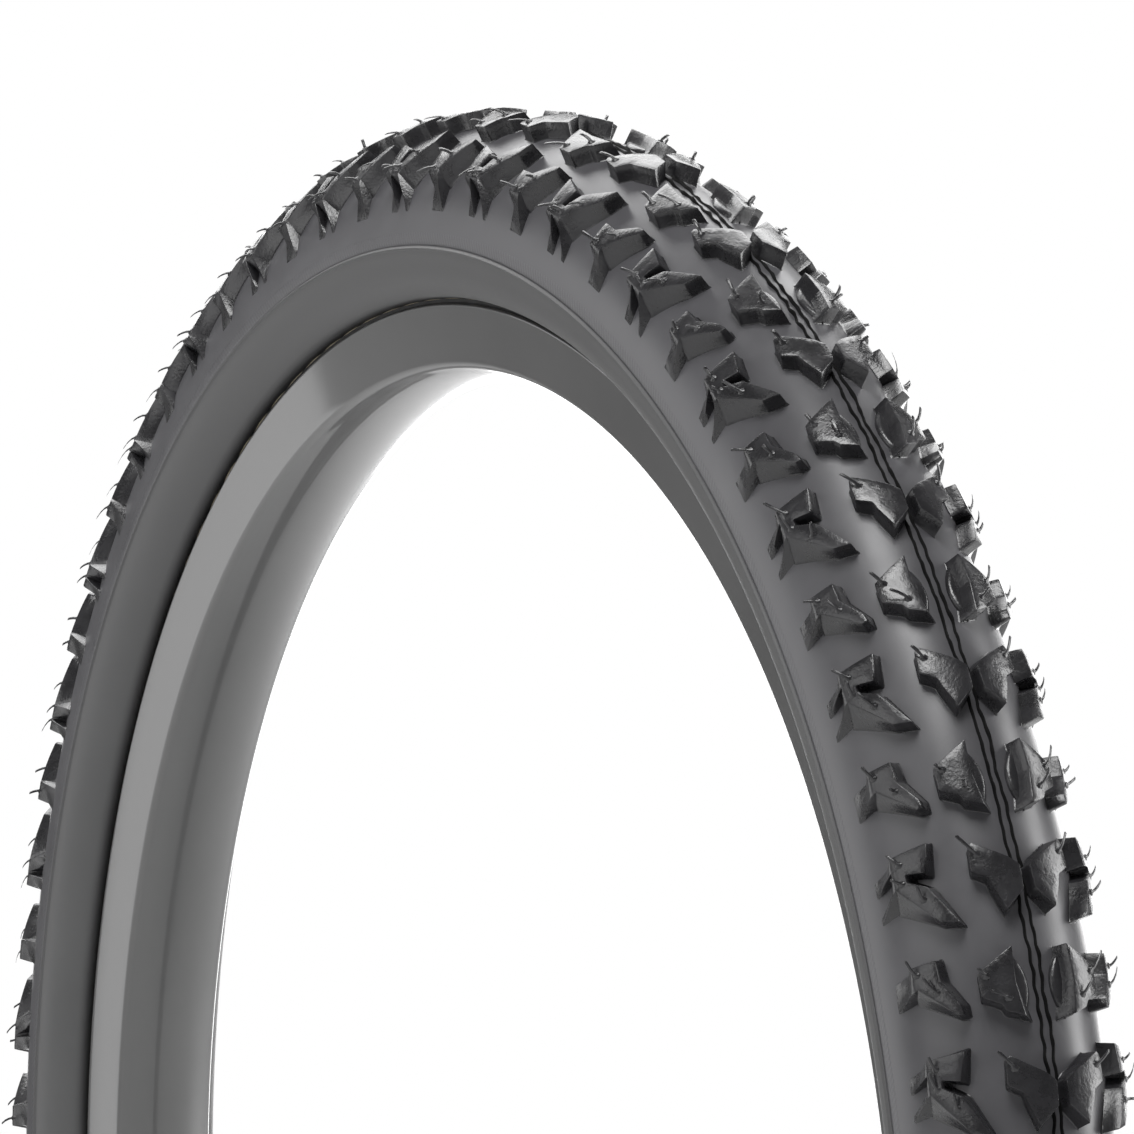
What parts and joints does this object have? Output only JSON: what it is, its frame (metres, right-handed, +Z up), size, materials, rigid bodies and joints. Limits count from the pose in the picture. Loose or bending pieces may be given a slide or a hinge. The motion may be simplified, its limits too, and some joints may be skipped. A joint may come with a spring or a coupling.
{
  "type": "bicycle tyre mounted on a plain rim",
  "caption": "Knobbly mountain-bike tyre mounted on a plain black rim, with inner tube and car-type valve.",
  "frame": {"origin": "the wheel's centre, on the axle line, midway between the sides", "axes": "+Y along the axle; -Y is the left side; +Z up; the valve is at the bottom, pointing up to the centre"},
  "size_m": [0.6831, 0.061, 0.6826],
  "materials": {
    "tread_rubber": "satin",
    "sidewall_rubber": "matte",
    "casing_fabric": "matte",
    "bead_steel": "satin",
    "black_aluminium": "satin",
    "bare_aluminium": "satin",
    "tape_cloth": "matte",
    "tube_rubber": "satin",
    "valve_brass": "satin",
    "seal_plastic": "satin",
    "spring_steel": "satin",
    "cap_plastic": "satin"
  },
  "bodies": {
    "wheel": {"tread_cap": "tread_rubber", "mould_seam_ridges": "tread_rubber", "butterfly_knobs_left": "tread_rubber", "butterfly_knobs_right": "tread_rubber", "sail_knobs_left": "tread_rubber", "sail_knobs_right": "tread_rubber", "forked_shoulder_knobs_left": "tread_rubber", "forked_shoulder_knobs_right": "tread_rubber", "single_shoulder_knobs_left": "tread_rubber", "single_shoulder_knobs_right": "tread_rubber", "sidewall_left": "sidewall_rubber", "sidewall_right": "sidewall_rubber", "bead_wire_left": "bead_steel", "bead_wire_right": "bead_steel", "chafer_left": "sidewall_rubber", "chafer_right": "sidewall_rubber", "outer_casing_ply": "casing_fabric", "inner_casing_ply": "casing_fabric", "breaker_belt": "casing_fabric", "rim": "black_aluminium", "rim_joint_sleeve": "bare_aluminium", "rim_tape": "tape_cloth", "inner_tube": "tube_rubber", "valve_base_patch": "tube_rubber", "valve_stem_sleeve": "tube_rubber", "valve_stem": "valve_brass", "valve_core_body": "valve_brass", "valve_core_seal": "seal_plastic", "valve_core_spring": "spring_steel"},
    "core_pin": {"valve_core_pin": "valve_brass", "valve_core_washer": "tube_rubber"},
    "cap_gasket": {"valve_cap_gasket": "tube_rubber"},
    "cap": {"valve_cap": "cap_plastic"}
  },
  "joints": [
    {"name": "core_pin_press", "type": "slide", "parent": "wheel", "child": "core_pin", "axis": [0, 0, -1], "range_m": [0, 0.0012], "stiffness_N_per_m": 900, "springref_m": -0.0012, "deforming": ["valve_core_spring"]},
    {"name": "cap_travel", "type": "slide", "parent": "wheel", "child": "cap_gasket", "axis": [0, 0, 1], "range_m": [0, 0.0075]},
    {"name": "cap_turn", "type": "hinge", "parent": "cap_gasket", "child": "cap", "pos_m": [0, 0, -0.2331], "axis": [0, 0, 1], "range_deg": [0, 3405]}
  ],
  "couplings": [
    {"joint": "cap_turn", "follows": "cap_travel", "rad_per_m": 7913.3}
  ]
}
